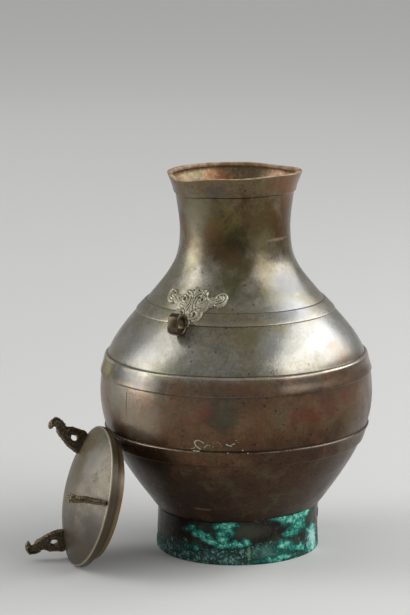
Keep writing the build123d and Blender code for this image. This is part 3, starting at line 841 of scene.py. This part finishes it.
lid_bronze, tree, point, shader = material("lid_bronze")
skin = use(tree, patina, {
    "Point": point, "Ground": tone(114, 107, 94), "Cloud": tone(92, 83, 64),
    "Red": tone(98, 84, 56), "Red Share": 0.02})
level = put(tree, "ShaderNodeSeparateXYZ", {0: point}).outputs[2]
waver = ramp(tree, noise_of(tree, point, 28.0, 6.0, 0.65), 0.2, 0.8, -0.02, 0.02)
level = sum_of(tree, "ADD", level, waver)
# Painted shade: the lid is painted darker towards its lower part.
colour = over(tree, ramp(tree, level, 0.075, 0.03, 0.0, 0.8), skin["Color"], tone(58, 48, 36))
# A golden-tan patch, pale grey ones high on the dome as painted light, and a dark one low on the dome as
# painted shade.
for place, size, shade, share in (
        ((-90, -116, 115), (22, 22, 16), tone(104, 90, 62), 0.6),
        ((-68, -142, 102), (22, 18, 18), tone(136, 132, 122), 0.7),
        ((-80, -149, 78), (10, 9, 7), tone(136, 127, 110), 0.6),
        ((-54, -168, 52), (24, 20, 17), tone(60, 52, 45), 0.8)):
    colour = stained(tree, point, colour, place, size, shade, share)
for mark, share, shade in (
        ("rim_wall", 0.85, tone(62, 52, 33)),
        # Painted highlight: a pale line along the dome's edge.
        ("dome_edge", 0.45, tone(176, 166, 142)),
        ("flange", 0.8, tone(118, 96, 62))):
    colour = over(tree, sum_of(tree, "MULTIPLY", mark_of(tree, mark), share), colour, shade)
bump = put(tree, "ShaderNodeBump", {"Height": skin["Height"], "Strength": 0.25, "Distance": 0.0006})
tree.links.new(colour, shader.inputs["Base Color"])
tree.links.new(sum_of(tree, "ADD", skin["Rough"], 0.1), shader.inputs["Roughness"])
tree.links.new(bump.outputs[0], shader.inputs["Normal"])
shader.inputs["Metallic"].default_value = 0.4
lid.data.materials.append(lid_bronze)
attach(lid, "lid_set")
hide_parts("lid")

# Finials
# Three flat birds with the head drawn back, cast as thick plates with a hole through the breast
# and tenoned into the dome. On the table they serve as the upturned lid's feet.
FINIAL_OUT = 53
FINIAL_UP = 12.076
FINIAL_TURN = 8
FINIAL_FACE = 1.75
bird_back = (
    (11, -4.4), (13.9, 4.4), (15.1, 9.7), (14.6, 16.8), (18.2, 20.2), (21.8, 26.5), (19.4, 30.9),
    (14.9, 33.6), (10.1, 31.9))
bird_breast = ((13, 27.2), (7.7, 25.5), (2.9, 21.8), (-4.1, 15.8), (-9.4, 7.7), (-11, -1))
bird_hole = [(4.3 + 3.4 * cos(n * pi / 4), 8.7 + 3.4 * sin(n * pi / 4)) for n in range(8)]


def plate(name, outlines, half, edge, inset, filled):
    """A flat plate, or a bead along its edge, from closed outlines in millimetres."""
    shape = bpy.data.curves.new(name, "CURVE")
    shape.dimensions = "2D"
    shape.fill_mode = "BOTH" if filled else "NONE"
    shape.extrude = half * MM
    shape.bevel_depth = edge * MM
    shape.bevel_resolution = 3
    shape.offset = -inset * MM
    for outline in outlines:
        add_line(shape, outline, True)
    return from_curve(name, shape)


feathers = bpy.data.textures.new("feathers", "CLOUDS")
feathers.noise_scale = 0.0024
feathers.noise_depth = 1

finial_bronze, tree, point, shader = material("finial_bronze")
skin = use(tree, patina, {
    "Point": point, "Ground": tone(82, 70, 52), "Cloud": tone(66, 56, 40),
    "Red": tone(88, 64, 46), "Red Share": 0.0})
edges = put(tree, "ShaderNodeNewGeometry").outputs["Pointiness"]
# By curvature: the hollows painted dark as painted shade, the edges and ridges painted pale as painted
# highlight.
colour = over(tree, ramp(tree, edges, 0.5, 0.45, 0.0, 0.8), skin["Color"], tone(30, 25, 18))
colour = over(tree, ramp(tree, edges, 0.505, 0.56, 0.0, 0.8), colour, tone(152, 132, 100))
bump = put(tree, "ShaderNodeBump", {"Height": skin["Height"], "Strength": 0.3, "Distance": 0.0005})
tree.links.new(colour, shader.inputs["Base Color"])
tree.links.new(skin["Rough"], shader.inputs["Roughness"])
tree.links.new(bump.outputs[0], shader.inputs["Normal"])
shader.inputs["Metallic"].default_value = 0.6

for number, node in enumerate(("finial_1", "finial_2", "finial_3")):
    outline = bird_back + bird_breast
    parts = [plate(node + "_plate", (outline, bird_hole), 1.2, 0.8, 0.8, True)]
    for face in (FINIAL_FACE, -FINIAL_FACE):
        bead = plate(node + "_bead", (outline,), 0, 0.5, 2.0, False)
        bead.data.transform(Matrix.Translation((0, 0, face * MM)))
        parts.append(bead)
        crest = (
            (15.5, 18, face * 0.9), (18.9, 22.6, face * 1.1), (20, 27, face * 1.4),
            (17.8, 30.6, face * 1.7), (14.2, 32.2, face * 1.9), (11, 31.4, face * 2))
        parts.append(strand("crest", crest, 0.9))
        wing = (
            (11.5, 2, face), (12.6, 9, face), (10.5, 15, face), (5, 16.4, face), (-1, 13, face),
            (-4.6, 6, face))
        parts.append(strand("wing", wing, 0.7))
    bird = join(parts, node + "_casting")
    bird.data.remesh_voxel_size = 0.33 * MM
    bpy.ops.object.voxel_remesh()
    apply_modifier(bird, "SMOOTH", factor=0.5, iterations=2)
    apply_modifier(bird, "DISPLACE", texture=feathers, texture_coords="LOCAL", strength=0.0013)
    turn = radians(FINIAL_TURN + 120 * number)
    outward = cos(turn) * lid_across + sin(turn) * lid_upwards
    bird_turn = Matrix((outward, lid_axis, outward.cross(lid_axis))).transposed().to_4x4()
    place = lid_middle + FINIAL_OUT * outward + FINIAL_UP * lid_axis
    bird.data.transform(Matrix.Translation(place * MM) @ bird_turn)
    bpy.ops.object.shade_smooth()
    bird.data.materials.append(finial_bronze)
    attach(bird, "lid_set")
    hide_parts(node)

# Studio
# A wide pale floor, a tall soft lamp at the left with a low one under it, and a soft lamp at the
# right. The low one's beam is narrow, so that it lights the belly and little of the floor.
bpy.ops.object.select_all(action="DESELECT")
bpy.ops.mesh.primitive_plane_add(size=80)
floor = bpy.context.object
floor.name = "floor"
paper, tree, point, shader = material("paper")
far = put(tree, "ShaderNodeVectorMath", {0: point}, operation="LENGTH").outputs["Value"]
# Painted light: the floor is painted paler farther off, making up for the lamps' light falling off with
# distance.
grey = over(tree, ramp(tree, far, 0.4, 4.0), tone(200, 200, 198), tone(238, 238, 236))
tree.links.new(grey, shader.inputs["Base Color"])
shader.inputs["Roughness"].default_value = 0.9
floor.data.materials.append(paper)
floor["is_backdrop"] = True

world = bpy.data.worlds.new("studio")
bpy.context.scene.world = world
world.use_nodes = True
rays = put(world.node_tree, "ShaderNodeLightPath").outputs
seen = sum_of(world.node_tree, "MAXIMUM", rays["Is Camera Ray"], rays["Is Glossy Ray"])
seen = sum_of(world.node_tree, "MAXIMUM", seen, rays["Is Transmission Ray"])
around = over(world.node_tree, seen, tone(178, 178, 178), tone(132, 133, 135))
world.node_tree.links.new(around, world.node_tree.nodes["Background"].inputs["Color"])

# Each lamp: bearing from the camera's side, distance, height, width, length, spread, power.
to_camera = Vector((0.515, -0.857, 0))
to_right = Vector((0.857, 0.515, 0))
for name, bearing, away, up, width, tall, spread, power in (
        ("left_lamp", -92, 3.6, 3.0, 2.4, 3.4, 180, 88),
        ("low_left_lamp", -92, 3.6, 0.7, 2.4, 1.2, 60, 7.4),
        ("right_lamp", 86, 1.7, 1.6, 3.2, 1.6, 180, 74)):
    place = away * (to_right * sin(radians(bearing)) + to_camera * cos(radians(bearing)))
    place.z = up
    bpy.ops.object.light_add(type="AREA", location=place)
    lamp = bpy.context.object
    lamp.name = name
    lamp.data.shape = "RECTANGLE"
    lamp.data.size = width
    lamp.data.size_y = tall
    lamp.data.spread = radians(spread)
    lamp.data.energy = power
    lamp.rotation_euler = Vector((-place.x, -place.y, 0)).to_track_quat("-Z", "Y").to_euler()

CAMERA_AT = (1.1204, -1.9207, 0.6588)
CAMERA_BEARING = radians(31)
CAMERA_TILT = radians(79.08)
CAMERA_ROLL = radians(-0.6)
camera_data = bpy.data.cameras.new("camera")
camera_data.lens = 140.49
camera_data.sensor_width = 36
camera = bpy.data.objects.new("camera", camera_data)
bpy.context.collection.objects.link(camera)
camera_turn = Matrix.Rotation(CAMERA_BEARING, 4, "Z") @ Matrix.Rotation(CAMERA_TILT, 4, "X")
camera_turn = camera_turn @ Matrix.Rotation(CAMERA_ROLL, 4, "Z")
camera.matrix_world = Matrix.Translation(CAMERA_AT) @ camera_turn
bpy.context.scene.camera = camera
bpy.context.scene.view_settings.view_transform = "Standard"

low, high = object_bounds()
